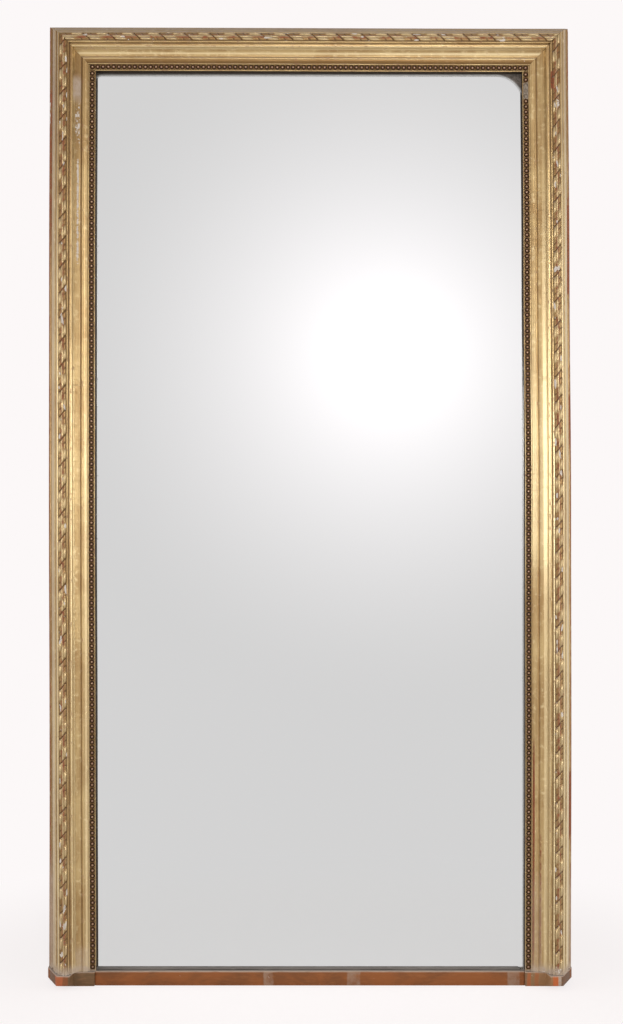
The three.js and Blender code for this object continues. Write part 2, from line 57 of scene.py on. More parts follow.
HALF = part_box("moulding_right")[1].x
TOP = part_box("moulding_top")[1].z
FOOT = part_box("moulding_left")[0].z
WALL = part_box("stile_left")[1].y
CARCASS_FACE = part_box("stile_left")[0].y
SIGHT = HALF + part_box("moulding_left")[1].x  # width of the moulding
GLASS_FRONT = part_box("mirror_plate")[0].y

# ---- the moulding, in millimetres of (across, rise) ----

CREST = {"middle": 33.8, "half": 7.5, "bed": 56.3, "height": 5.5, "slant": 6.8, "rod": 2.8, "lobe": 4.4}
BEAD = {"from": 79.7, "to": 89.1, "bed": 29.8, "pitch": 10.0, "dome": 3.8, "hollow": 4.35, "rim": 4.6}
RIBBON_RUN = {"left": (42, 46), "top": (55.5, 47.4), "right": (0.5, 46.5)}  # first crossing and pitch
LOST_BEADS = (1.661, 1.691)  # heights between which the right-hand row has lost its beads

# ---- the photographed view ----

CAMERA_PLACE = (0.0031, -2.9735, 0.8854)
LENS = 55.81  # millimetres, on a 36 mm sensor
BACKDROP = (252, 248, 248)
GLOW = {"place": (0.346, -4.0, 1.588), "radius": 1.59, "strength": 0.84}  # the room light that the glass shows


def srgb(red, green, blue):
    """A display colour as the linear values that nodes take."""
    return tuple(((c / 255 + 0.055) / 1.055) ** 2.4 if c > 10 else c / 255 / 12.92 for c in (red, green, blue)) + (1,)


def smooth(value, low, high):
    """0 below low, 1 above high, and an S-curve between."""
    t = min(max((value - low) / (high - low), 0), 1)
    return t * t * (3 - 2 * t)


# ---- the three moulded sides ----

class Side:
    """One run of the frame, with the places of its points."""

    def __init__(self, name, corner, across, along, length, mitred, crest_shift, bead_shift):
        self.name = name
        self.crest_shift = crest_shift
        self.bead_shift = bead_shift
        self.corner = corner
        self.across = across
        self.along = along
        self.length = length
        self.mitred = mitred

    def settled(self, across):
        """Where a line of the moulding runs, with the crest and the beads set a little further out than drawn."""
        crest = smooth(across, 2 * MM, 20 * MM) * (1 - smooth(across, 44 * MM, 62 * MM))
        beads = smooth(across, 62 * MM, 76 * MM) * (1 - 0.4 * smooth(across, 88 * MM, 90.5 * MM))
        return across - self.crest_shift * crest - self.bead_shift * beads

    def start(self, across):
        return self.settled(across) if self.mitred[0] else 0

    def end(self, across):
        return self.length - (self.settled(across) if self.mitred[1] else 0)

    def point(self, across, rise, along):
        across = self.settled(across)
        x = self.corner[0] + self.across[0] * across + self.along[0] * along
        z = self.corner[1] + self.across[1] * across + self.along[1] * along
        return settle(Vector((x, CARCASS_FACE - rise, z)))


def settle(point):
    """Moves a point as the old frame has moved: the sides bow a little, and the outer corners are rubbed round."""
    x, y, z = point
    share = smooth(x, -HALF, HALF)
    lean = (1 - share) * bow(z, LEFT_BOW) + share * bow(z, RIGHT_BOW)
    x += lean
    drop = SAG * share * z / TOP
    z -= drop
    for side, radius in ((-1, 2 * MM), (1, 5 * MM)):
        centre = Vector((side * (HALF - radius) + lean, TOP - drop - radius))
        arm = Vector((x, z)) - centre
        if arm.x * side > 0 and arm.y > 0 and arm.length > radius:
            arm = arm.normalized() * radius
            x = centre.x + arm.x
            z = centre.y + arm.y
    return Vector((x, y, z))


# Sideways shift of the frame's sides, in millimetres, at five heights spread evenly from the foot to the top.
LEFT_BOW = (2.4, 1.0, -0.3, 0.1, 1.8)
RIGHT_BOW = (0.4, 1.4, 0.8, -2.2, -5.2)
SAG = 2.4 * MM  # drop of the top right corner


def bow(z, shifts):
    t = min(max(z / TOP, 0), 1) * (len(shifts) - 1)
    i = min(int(t), len(shifts) - 2)
    return (shifts[i] + (shifts[i + 1] - shifts[i]) * smooth(t - i, 0, 1)) * MM


SIDES = {
    "left": Side("left", (-HALF, TOP), (1, 0), (0, -1), TOP - FOOT, (True, False), 0, 0),
    "top": Side("top", (HALF, TOP), (0, -1), (-1, 0), 2 * HALF, (True, True), 1.0 * MM, 2.0 * MM),
    "right": Side("right", (HALF, FOOT), (-1, 0), (0, 1), TOP - FOOT, (False, True), 2.4 * MM, 0),
}


# ---- marks of wear that have a place ----

# Side, kind, across from and to in millimetres, height from and to in metres, strength.
WEAR = (
    ("left", "dust", (51, 63), (1.655, 1.695), 1.0),
    ("left", "dust", (54, 78), (0.03, 0.07), 0.5),
    ("left", "dust", (0, 91), (0.02, 0.039), 1.0),
    ("right", "dust", (0, 91), (0.02, 0.039), 1.0),
    ("left", "dust", (0, 7), (0.02, 0.22), 0.7),
    ("right", "dust", (0, 7), (0.02, 0.2), 0.5),
    ("right", "dust", (60, 79), (0.02, 0.2), 0.25),
    ("left", "chip", (54, 62), (1.56, 1.655), 0.45),
    ("left", "chip", (57, 60.5), (1.33, 1.56), 0.55),
    ("left", "chip", (50, 53), (1.02, 1.09), 0.35),
    ("left", "chip", (55, 62), (0.35, 0.72), 0.2),
    ("left", "chip", (0, 3), (1.60, 1.67), 0.5),
    ("left", "chip", (26, 42), (0.02, 0.30), 0.28),
    ("left", "chip", (0, 60), (0.02, 0.030), 0.5),
    ("right", "chip", (28, 33), (1.63, 1.66), 0.5),
    ("right", "chip", (52, 62), (1.09, 1.13), 0.3),
    ("right", "chip", (26, 42), (0.03, 0.42), 0.27),
    ("right", "chip", (28, 40), (0.02, 0.045), 0.42),
    ("right", "chip", (0, 90), (0.02, 0.030), 0.5),
    ("left", "bare", (0, 6), (1.35, 1.72), 0.54),
    ("right", "bare", (0, 7), (1.29, 1.47), 0.9),
    ("right", "bare", (0, 5), (1.00, 1.12), 0.7),
    ("right", "bare", (0, 7), (0.27, 0.40), 0.9),
    ("right", "bare", (74, 77), (0.03, 0.46), 0.75),
    ("right", "bare", (61, 64), (0.03, 0.30), 0.5),
    ("right", "bare", (38, 43), (1.672, 1.70), 1.3),
)


def wear_at(side, kind, across, height):
    """How strong one kind of wear is at a place, from 0 to 1. across is in millimetres."""
    total = 0
    for name, sort, (near, far), (low, high), strength in WEAR:
        if name != side.name or sort != kind:
            continue
        sides = smooth(across, near - 1.5, near + 0.5) * (1 - smooth(across, far - 0.5, far + 1.5))
        fade = 0.18 * (high - low) + 0.004
        ends = smooth(height, low - fade, low + fade) * (1 - smooth(height, high - fade, high + fade))
        total = max(total, strength * sides * ends)
    return total


# ---- mesh helpers ----

def add_piece(name, points, faces, marks=None):
    """A smooth-shaded mesh object. marks holds one value for each point, by attribute name."""
    mesh = bpy.data.meshes.new(name)
    mesh.from_pydata(points, [], faces)
    for mark, values in (marks or {}).items():
        mesh.attributes.new(mark, "FLOAT", "POINT").data.foreach_set("value", values)
    shaped = bmesh.new()
    shaped.from_mesh(mesh)
    bmesh.ops.recalc_face_normals(shaped, faces=shaped.faces)
    shaped.to_mesh(mesh)
    shaped.free()
    mesh.shade_smooth()
    mesh.set_sharp_from_angle(angle=math.radians(50))
    piece = bpy.data.objects.new(name, mesh)
    bpy.context.scene.collection.objects.link(piece)
    return piece


def grid_faces(rows, columns, closed=False):
    """Faces of a grid of points stored row by row. A closed grid joins its last column to its first."""
    faces = []
    for r in range(rows - 1):
        for c in range(columns if closed else columns - 1):
            here = r * columns + c
            beside = r * columns + (c + 1) % columns
            faces.append((here, beside, beside + columns, here + columns))
    return faces


def quadratic(start, control, end, steps):
    """Points of a quadratic curve after its start."""
    a, b, c = Vector(start), Vector(control), Vector(end)
    return [a * (1 - t) ** 2 + b * 2 * t * (1 - t) + c * t * t for t in (i / steps for i in range(1, steps + 1))]


def rounded(outline, radius):
    """A closed outline with each corner turned into a short curve."""
    result = []
    for i, corner in enumerate(outline):
        before = outline[i - 1] - corner
        after = outline[(i + 1) % len(outline)] - corner
        if before.angle(-after) < math.radians(14):
            result.append(corner)
            continue
        start = corner + before.normalized() * min(radius, before.length * 0.4)
        end = corner + after.normalized() * min(radius, after.length * 0.4)
        result.append(start)
        result.extend(quadratic(start, corner, end, 4))
    return result


def relief_of(outline, reach):
    """For each point of a closed outline, 1 on a sharp arris, 0 in a sharp hollow and 0.5 where it is flat."""
    count = len(outline)
    turns = []
    for i in range(count):
        before = outline[i] - outline[i - 1]
        after = outline[(i + 1) % count] - outline[i]
        turns.append(math.atan2(before.x * after.y - before.y * after.x, before.dot(after)))
    relief = []
    for i in range(count):
        total = 0
        for step in range(-12, 13):
            j = (i + step) % count
            total += turns[j] * max(0, 1 - (outline[j] - outline[i]).length / reach)
        relief.append(min(max(0.5 - total / 1.6, 0), 1))
    return relief


# ---- the gilt mouldings ----

def moulding_outline():
    """Section of the moulding, in millimetres of (across, rise), from its back edge round over the front."""
    line = [Vector((0, 0.4)), Vector((0, 3))]
    line += quadratic((0, 3), (1.2, 9.8), (6.4, 12), 6)
    line += [Vector((7.2, 13.4))]
    line += quadratic((7.2, 13.4), (8.2, 23), (12.2, 31.5), 8)
    line += [Vector((12.7, 33.4)), Vector((13.6, 34.4))]
    line += quadratic((13.6, 34.4), (15, 40.6), (18.4, 44.6), 6)
    line += [Vector((19.7, 45)), Vector((21, 48.2))]
    line += quadratic((21, 48.2), (21.9, 54.6), (25.8, 56.7), 7)
    line += [Vector((26.6, 56)), Vector((40.8, 56)), Vector((41.3, 56.9)), Vector((43.7, 56.9))]
    line += [Vector((44.3, 50.6)), Vector((48.3, 50.4))]
    line += quadratic((48.3, 50.4), (49.9, 49.8), (50.6, 46.8), 4)
    line += quadratic((50.6, 46.8), (53.2, 37.0), (64.8, 35.0), 14)
    line += quadratic((64.8, 35.0), (67.2, 38.6), (70.2, 35.9), 8)
    line += quadratic((70.2, 35.9), (74.6, 35.6), (77.2, 32.6), 8)
    line += [Vector((77.6, 33.2)), Vector((79.1, 33.2)), Vector((79.6, 29.5)), Vector((89.2, 29.5))]
    line += [Vector((89.4, 32.6)), Vector((90.5, 32.3)), Vector((90.5, 31.4)), Vector((90.5, 16.4))]
    line += [Vector((78.1, 16.4)), Vector((78.1, 11.2)), Vector((60, 11.2)), Vector((60, 0.4))]
    return line


# Painted highlight and shade on each band of the gilding, with how bright it has stayed, around 0.5: across from and
# to, and tone.
BAND_TONES_AND_PAINTED_LIGHT = {
    "left": ((0, 8.5, 0.2), (9, 18, 0.64), (18.4, 21, 0.25), (21.5, 25.5, 0.74), (43.9, 45.6, 0.3), (45.8, 48.0, 0.42),
             (48.4, 53.4, 1.0), (53.6, 62, 0.5), (62.4, 66.6, 0.42), (66.8, 72, 0.6), (72.2, 74.6, 0.8),
             (74.8, 79.4, 0.7)),
    "top": ((0, 25, 0.45), (41.2, 44.4, 0.34), (44.6, 47.8, 0.55), (48.6, 52.6, 1.0), (52.8, 56, 0.55), (56.4, 60.2, 0.9),
            (60.4, 64.6, 0.42), (64.7, 66, 0.28), (66.4, 69.6, 0.72), (69.8, 77.6, 0.06)),
    "right": ((0, 7, 0.35), (8, 18, 0.8), (18.4, 21, 0.5), (21.5, 25.5, 0.8), (43.9, 46, 0.42), (46.2, 48.2, 0.55),
              (48.4, 57, 0.76), (57.2, 62.2, 0.52), (62.4, 68.6, 0.44), (68.8, 79.4, 0.58)),
}


def tone_and_painted_light_of(side, across, place):
    """Tone of the gilding at a place, carrying painted highlight and shade: bands are painted paler or browner by how
    light falls on them, and painted shade makes the upper ends of the sides and the left of the top browner.
    """
    total = 0.5
    for near, far, tone in BAND_TONES_AND_PAINTED_LIGHT[side.name]:
        total += (tone - 0.5) * smooth(across, near - 0.4, near + 0.4) * (1 - smooth(across, far - 0.4, far + 0.4))
    # On the top, painted shade to the left, with a painted highlight on the fillet and deeper painted shade on the
    # lip.
    if side.name == "top":
        leftward = 1 - smooth(place.x, -0.1, 0.3)
        fillet = smooth(across, 40.8, 41.4) * (1 - smooth(across, 44.2, 44.6))
        lip = smooth(across, 44.2, 44.8) * (1 - smooth(across, 47.4, 48))
        return total + (0.3 * fillet - 0.27 * lip - 0.1) * leftward
    # On the sides, painted shade makes the gilding browner towards the top.
    high = smooth(place.z, 1.3, 1.7)
    if side.name == "left":
        high += smooth(across, 26, 40) * (0.5 * smooth(place.z, 1.0, 1.25) - 0.5 * smooth(place.z, 1.3, 1.5))
        return total * (1 - 0.5 * high) - 0.1 * high
    # On the right, painted highlights on the fillet below mid-height and on the inner bands about mid-height.
    fillet = smooth(across, 40.8, 41.4) * (1 - smooth(across, 43.4, 44))
    total += 0.4 * fillet * (1 - smooth(place.z, 1.0, 1.2))
    total += 0.2 * smooth(place.z, 0.7, 0.86) * (1 - smooth(place.z, 1.0, 1.3)) * smooth(across, 44, 48)
    return total * (1 - 0.3 * high)


def build_moulding(side, rows):
    outline = rounded(moulding_outline(), 0.55)
    relief = relief_of(outline, 1.9)
    columns = len(outline)
    points, marks = [], {"relief": [], "bare": [], "chip": [], "dust": [], "tone": []}
    for r in range(rows):
        share = r / (rows - 1)
        for corner, raised in zip(outline, relief):
            across = corner.x * MM
            gap = 0.15 * MM
            start, end = side.start(across) + gap, side.end(across) - gap
            along = start + share * (end - start)
            swell = noise.noise(Vector((along * 14, corner.x * 0.12, corner.y * 0.12 + len(side.name)))) * 0.16
            front = smooth(corner.y, 12, 30)
            points.append(side.point(across, (corner.y + swell * front) * MM, along))
            height = points[-1].z
            marks["relief"].append(raised)
            marks["bare"].append(max(0.5 - smooth(corner.x, 3.0, 6.6), wear_at(side, "bare", corner.x, height)))
            marks["chip"].append(wear_at(side, "chip", corner.x, height))
            marks["dust"].append(wear_at(side, "dust", corner.x, height))
            marks["tone"].append(tone_and_painted_light_of(side, corner.x, points[-1]))
    faces = grid_faces(rows, columns, closed=True)
    faces.append(tuple(range(columns)))
    faces.append(tuple(range((rows - 1) * columns, rows * columns)))
    piece = add_piece(f"gilt_moulding_{side.name}", points, faces, marks)
    for c in range(columns):
        a, b = outline[c], outline[(c + 1) % columns]
        near, high = min(a.x, b.x), max(a.y, b.y)
        if near > 90.2 and high < 31.6 or near > 60 and high < 17.5 or near > 7 and high < 12:
            for r in range(rows - 1):
                piece.data.polygons[r * columns + c].material_index = 1
    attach(piece, ROOT)
    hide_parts(f"moulding_{side.name}")
    return piece


# ---- the ribbon and stick on the crest ----

def carving(across, along, first, pitch, seed):
    """Height of the carving over its bed, how open it is to the light, and how bare its rod is."""
    edge = across / CREST["half"]
    lean = CREST["slant"] * (1 + 0.2 * noise.noise(Vector((along * 0.02, seed, 0))))
    turn = (along - first + lean * math.sin(edge * math.pi / 2)) / pitch
    number = round(turn)
    past = (turn - number) * pitch
    hand = 1 if across < 0 else -1  # the outer lobe follows a crossing, and the inner one leads up to it
    follow = past * hand / (0.5 * pitch)
    swell = math.sin(math.pi * min(max(follow, 0), 1)) ** 0.6
    dome = math.sqrt(max(0, 1 - edge * edge))
    rod = 4.7 * math.sqrt(max(0, 1 - (across / CREST["rod"]) ** 2))
    lobe = math.sqrt(max(0, 1 - ((abs(across) - CREST["lobe"]) / 3.1) ** 2)) * (1.3 + 4.2 * swell)
    depth = 0.8 + 0.2 * noise.noise(Vector((number * 2.1, seed, 8)))
    # Painted shadow: the crossings, and a stroke beside each, are cut lower and marked as shut from the light, so the
    # gilding paints them dark.
    crossing = smooth(-abs(past), -1.7, -0.3) * depth
    stroke = smooth(-abs(past * hand + 0.3 * pitch), -1.5, -0.3) * smooth(abs(across), 1.0, 3.0) * depth
    height = max(rod, lobe, 3.0 * dome) * (1 - 0.7 * max(crossing, 0.5 * stroke))
    bare = (1 - swell) * smooth(-abs(across), -5.5, -2.5)
    return height, 1 - max(crossing, 0.7 * stroke), bare


def build_ribbon(side, step):
    first, pitch = RIBBON_RUN[side.name]
    columns = 23
    half = CREST["half"]
    middle = CREST["middle"]
    rows = round(side.length / MM / step)
    seed = len(side.name) * 3.1
    points, marks = [], {"relief": [], "bare": [], "chip": [], "dust": [], "tone": []}
    for r in range(rows + 1):
        share = r / rows
        for c in range(columns):
            across = half * math.sin((c / (columns - 1) - 0.5) * math.pi)
            run = (middle + across) * MM
            start, end = side.start(run) + 0.3 * MM, side.end(run) - 0.3 * MM
            along = start + share * (end - start)
            height, open_part, bare = carving(across, along / MM, first, pitch, seed)
            chip = smooth(noise.noise(Vector((along * 60, across * 0.2, seed))), 0.42, 0.62)
            height = max(height - 0.9 * chip, 0.02)
            points.append(side.point(run, (CREST["bed"] + height) * MM, along))
            z = points[-1].z
            # The relief mark is low on the low parts and at the crossings, where the gilding paints dirt and shade.
            marks["relief"].append((0.12 + 0.88 * min(height / CREST["height"], 1)) * open_part)
            marks["bare"].append(max(0.5 * bare, wear_at(side, "bare", middle + across, z)))
            marks["chip"].append(max(0.8 * chip, wear_at(side, "chip", middle + across, z)))
            marks["dust"].append(wear_at(side, "dust", middle + across, z))
            # The carving takes the tone and painted light of its crest band, painted browner.
            marks["tone"].append(tone_and_painted_light_of(side, middle, points[-1]) - 0.3)
    faces = grid_faces(rows + 1, columns)
    for r in range(rows):
        left = r * columns
        faces.append((left + columns - 1, left, left + columns, left + 2 * columns - 1))
    faces.append(tuple(range(columns)))
    faces.append(tuple(range(rows * columns, (rows + 1) * columns)))
    piece = add_piece(f"carved_ribbon_{side.name}", points, faces, marks)
    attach(piece, ROOT)
    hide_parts(f"ribbon_{side.name}")
    return piece


# ---- the bead rows ----

BEAD_SPOKES = 20
# Each ring's mark is high near the crown, which is painted with a highlight, and low towards the hollow, which is
# painted dark as patina and shade.
BEAD_RINGS = ((0.2, 0.92), (0.42, 0.76), (0.62, 0.64), (0.82, 0.1), (1.0, 0.05))  # share of the dome's radius, and its mark


def bead_height(radius):
    """Height over the bed at a distance from the middle of a bead, in millimetres."""
    dome = BEAD["dome"]
    if radius < dome:
        return 0.8 + 3.7 * math.sqrt(max(0, 1 - (radius / dome) ** 2))
    if radius < BEAD["hollow"]:
        return 0.6
    return 2.5


def build_beads(side, run):
    """One strip of square cells, each with a domed bead in a ring-shaped hollow."""
    start, end = run
    cells = round((end - start) / (BEAD["pitch"] * MM))
    pitch = (end - start) / cells
    middle = (BEAD["from"] + BEAD["to"]) / 2
    half_across = (BEAD["to"] - BEAD["from"]) / 2
    half_along = pitch / MM / 2
    rings = [(share * BEAD["dome"], gilt) for share, gilt in BEAD_RINGS] + [(BEAD["hollow"], 0), (BEAD["rim"], 0.5)]
    points, faces, marks = [], [], {"relief": [], "bare": [], "tone": []}

    def add(across, along, height, relief, lost):
        marks["tone"].append(smooth(across, half_across - 1.2, half_across - 0.2))
        points.append(side.point((middle + across) * MM, (BEAD["bed"] + height) * MM, along))
        marks["relief"].append(relief)
        marks["bare"].append(lost)
        return len(points) - 1

    for cell in range(cells):
        centre = start + (cell + 0.5) * pitch
        lift = noise.noise(Vector((cell * 3.7, len(side.name), 0))) * 0.25
        z = side.point(middle * MM, 0, centre).z
        lost = side.name == "right" and LOST_BEADS[0] < z < LOST_BEADS[1]
        worn = 0.42 if lost else 1
        crown = add(0, centre, (bead_height(0) + lift) * worn, 0.3 if lost else 1, float(lost))
        previous = None
        for radius, gilt in rings:
            ring = []
            for spoke in range(BEAD_SPOKES):
                angle = 2 * math.pi * spoke / BEAD_SPOKES
                height = bead_height(radius) * (worn if radius < BEAD["hollow"] else 1)
                rough = noise.noise(Vector((spoke * 0.9, cell * 2.3, radius))) * (0.9 if lost else 0.12)
                ring.append(add(
                    radius * math.cos(angle), centre + radius * math.sin(angle) * MM,
                    max(height + rough, 0.2), gilt, float(lost)))
            for i in range(BEAD_SPOKES):
                j = (i + 1) % BEAD_SPOKES
                faces.append((crown, ring[i], ring[j]) if previous is None
                             else (previous[i], ring[i], ring[j], previous[j]))
            previous = ring
        border = []
        for spoke in range(BEAD_SPOKES):
            angle = 2 * math.pi * spoke / BEAD_SPOKES
            x, y = math.cos(angle), math.sin(angle)
            reach = min(half_across / max(abs(x), 1e-6), half_along / max(abs(y), 1e-6))
            border.append(add(x * reach, centre + y * reach * MM, 2.7, 0.56, float(lost)))
        for i in range(BEAD_SPOKES):
            j = (i + 1) % BEAD_SPOKES
            faces.append((previous[i], border[i], border[j], previous[j]))
    strip = add_piece(f"pressed_beads_{side.name}", points, faces, marks)
    close_strip(strip, side)
    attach(strip, ROOT)
    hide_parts(f"beads_{side.name}")
    return strip


def close_strip(strip, side):
    """Joins the cells of a bead strip and gives it sides that reach down to its flat bed."""
    shaped = bmesh.new()
    shaped.from_mesh(strip.data)
    bmesh.ops.remove_doubles(shaped, verts=shaped.verts, dist=0.02 * MM)
    rim = [edge for edge in shaped.edges if edge.is_boundary]
    made = bmesh.ops.extrude_edge_only(shaped, edges=rim)
    bed = CARCASS_FACE - BEAD["bed"] * MM
    for item in made["geom"]:
        if isinstance(item, bmesh.types.BMVert):
            item.co.y = bed
    bmesh.ops.recalc_face_normals(shaped, faces=shaped.faces)
    shaped.to_mesh(strip.data)
    shaped.free()
    strip.data.shade_smooth()
    strip.data.set_sharp_from_angle(angle=math.radians(50))


# ---- copies of the plain pieces, with worn edges ----

RIM = 9 * MM  # how near the outside of the frame a carcass piece follows the settled moulding


def worn_copy(node, width, waver, flattened=1.0):
    """A copy of a CAD node whose arrises are rounded and whose faces waver a little."""
    piece = bpy.data.objects.new(f"worn_{node}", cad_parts[node].data.copy())
    bpy.context.scene.collection.objects.link(piece)
    shaped = bmesh.new()
    shaped.from_mesh(piece.data)
    bmesh.ops.remove_doubles(shaped, verts=shaped.verts, dist=0.01 * MM)
    bmesh.ops.dissolve_limit(shaped, angle_limit=math.radians(2), verts=shaped.verts, edges=shaped.edges)
    sharp = [edge for edge in shaped.edges if len(edge.link_faces) == 2 and edge.calc_face_angle() > 0.5]
    bmesh.ops.bevel(shaped, geom=sharp, offset=width * MM, segments=2, profile=0.5, affect="EDGES",
                    clamp_overlap=True)
    shaped.to_mesh(piece.data)
    shaped.free()
    low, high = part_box(node)
    for vertex in piece.data.vertices:
        shift = Vector(noise.noise_vector(vertex.co * 30)) * waver * MM
        moved = vertex.co + shift
        moved.z = low.z + (moved.z - low.z) * flattened
        if max(abs(moved.x) - HALF, moved.z - TOP) > -RIM and moved.z > FOOT + RIM:
            moved = settle(moved)
            moved.x *= 1 - 1.2 * MM / HALF
        vertex.co = Vector(min(max(m, a), b) for m, a, b in zip(moved, low, high))
    piece.data.shade_smooth()
    piece.data.set_sharp_from_angle(angle=math.radians(40))
    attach(piece, ROOT)
    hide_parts(node)
    return piece


# ---- shader helpers ----

class Finish:
    """A material that is being put together, with one call for each kind of node that the finishes use."""

    def __init__(self, name):
        self.material = bpy.data.materials.new(name)
        self.material.use_nodes = True
        self.tree = self.material.node_tree
        self.tree.nodes.clear()
        self.output = self.tree.nodes.new("ShaderNodeOutputMaterial")
        self.place = self.add("ShaderNodeTexCoord").outputs["Object"]

    def add(self, kind, **settings):
        node = self.tree.nodes.new(kind)
        for key, value in settings.items():
            setattr(node, key, value)
        return node

    def feed(self, socket, value):
        if isinstance(value, bpy.types.NodeSocket):
            self.tree.links.new(value, socket)
        elif value is not None:
            socket.default_value = value

    def stretched(self, scale, shift=(0, 0, 0)):
        node = self.add("ShaderNodeMapping")
        self.feed(node.inputs["Vector"], self.place)
        node.inputs["Scale"].default_value = scale
        node.inputs["Location"].default_value = shift
        return node.outputs["Vector"]

    def noise(self, vector, scale, detail=3.0, roughness=0.55, distortion=0.0):
        node = self.add("ShaderNodeTexNoise")
        self.feed(node.inputs["Vector"], vector)
        node.inputs["Scale"].default_value = scale
        node.inputs["Detail"].default_value = detail
        node.inputs["Roughness"].default_value = roughness
        node.inputs["Distortion"].default_value = distortion
        return node.outputs["Fac"]

    def cracks(self, vector, scale, width):
        node = self.add("ShaderNodeTexVoronoi", feature="DISTANCE_TO_EDGE")
        self.feed(node.inputs["Vector"], vector)
        node.inputs["Scale"].default_value = scale
        return self.between(node.outputs["Distance"], width, 0)

    def between(self, value, low, high, to_low=0.0, to_high=1.0):
        node = self.add("ShaderNodeMapRange", interpolation_type="SMOOTHSTEP")
        for key, number in (("Value", value), ("From Min", low), ("From Max", high),
                            ("To Min", to_low), ("To Max", to_high)):
            self.feed(node.inputs[key], number)
        return node.outputs["Result"]

    def math(self, operation, a, b=None, clamp=False):
        node = self.add("ShaderNodeMath", operation=operation, use_clamp=clamp)
        self.feed(node.inputs[0], a)
        self.feed(node.inputs[1], b)
        return node.outputs["Value"]

    def product(self, *factors):
        result = factors[0]
        for factor in factors[1:]:
            result = self.math("MULTIPLY", result, factor)
        return result

    def most(self, *values):
        result = values[0]
        for value in values[1:]:
            result = self.math("MAXIMUM", result, value, clamp=True)
        return result

    def blend(self, share, under, over):
        node = self.add("ShaderNodeMix", data_type="RGBA")
        self.feed(node.inputs["Factor"], share)
        self.feed(node.inputs["A"], under)
        self.feed(node.inputs["B"], over)
        return node.outputs["Result"]

    def mark(self, name):
        return self.add("ShaderNodeAttribute", attribute_name=name).outputs["Fac"]

    def axis(self, index):
        node = self.add("ShaderNodeSeparateXYZ")
        self.feed(node.inputs[0], self.place)
        return node.outputs[index]

    def upward(self):
        normal = self.add("ShaderNodeNewGeometry").outputs["Normal"]
        node = self.add("ShaderNodeSeparateXYZ")
        self.feed(node.inputs[0], normal)
        return node.outputs[2]

    def band(self, index, low, high, soft, waver=0.0):
        """1 where a coordinate is between two values, with soft ends that may waver."""
        value = self.math("ADD", self.axis(index), waver)
        rising = self.between(value, low - soft, low)
        falling = self.between(value, high + soft, high)
        return self.product(rising, falling)

    def close(self, colour, roughness, metallic=0.0, bumps=(), **inputs):
        """Ends the material in one shader. bumps holds (height, depth in metres) pairs."""
        shader = self.add("ShaderNodeBsdfPrincipled")
        self.feed(shader.inputs["Base Color"], colour)
        self.feed(shader.inputs["Roughness"], roughness)
        self.feed(shader.inputs["Metallic"], metallic)
        for key, value in inputs.items():
            self.feed(shader.inputs[key.replace("_", " ").title().replace("Ior", "IOR")], value)
        normal = None
        for height, depth in bumps:
            bump = self.add("ShaderNodeBump")
            bump.inputs["Distance"].default_value = depth
            self.feed(bump.inputs["Height"], height)
            self.feed(bump.inputs["Normal"], normal)
            normal = bump.outputs["Normal"]
        self.feed(shader.inputs["Normal"], normal)
        self.tree.links.new(shader.outputs["BSDF"], self.output.inputs["Surface"])
        return self.material


# ---- finishes ----

GOLD = srgb(188, 162, 114)
# Pale gold, for mottling and for painted highlights.
GOLD_PALE = srgb(234, 215, 170)
GOLD_DEEP = srgb(156, 125, 81)
BOLE = srgb(164, 88, 56)
BOLE_DARK = srgb(104, 68, 44)
GESSO = srgb(206, 196, 186)
DUST = srgb(180, 161, 143)
# Dark brown for dirt and for painted shade in hollows.
GRIME_AND_SHADE = srgb(86, 60, 36)
# Brown gold where the tone mark paints shade.
GOLD_BROWN = srgb(118, 87, 47)


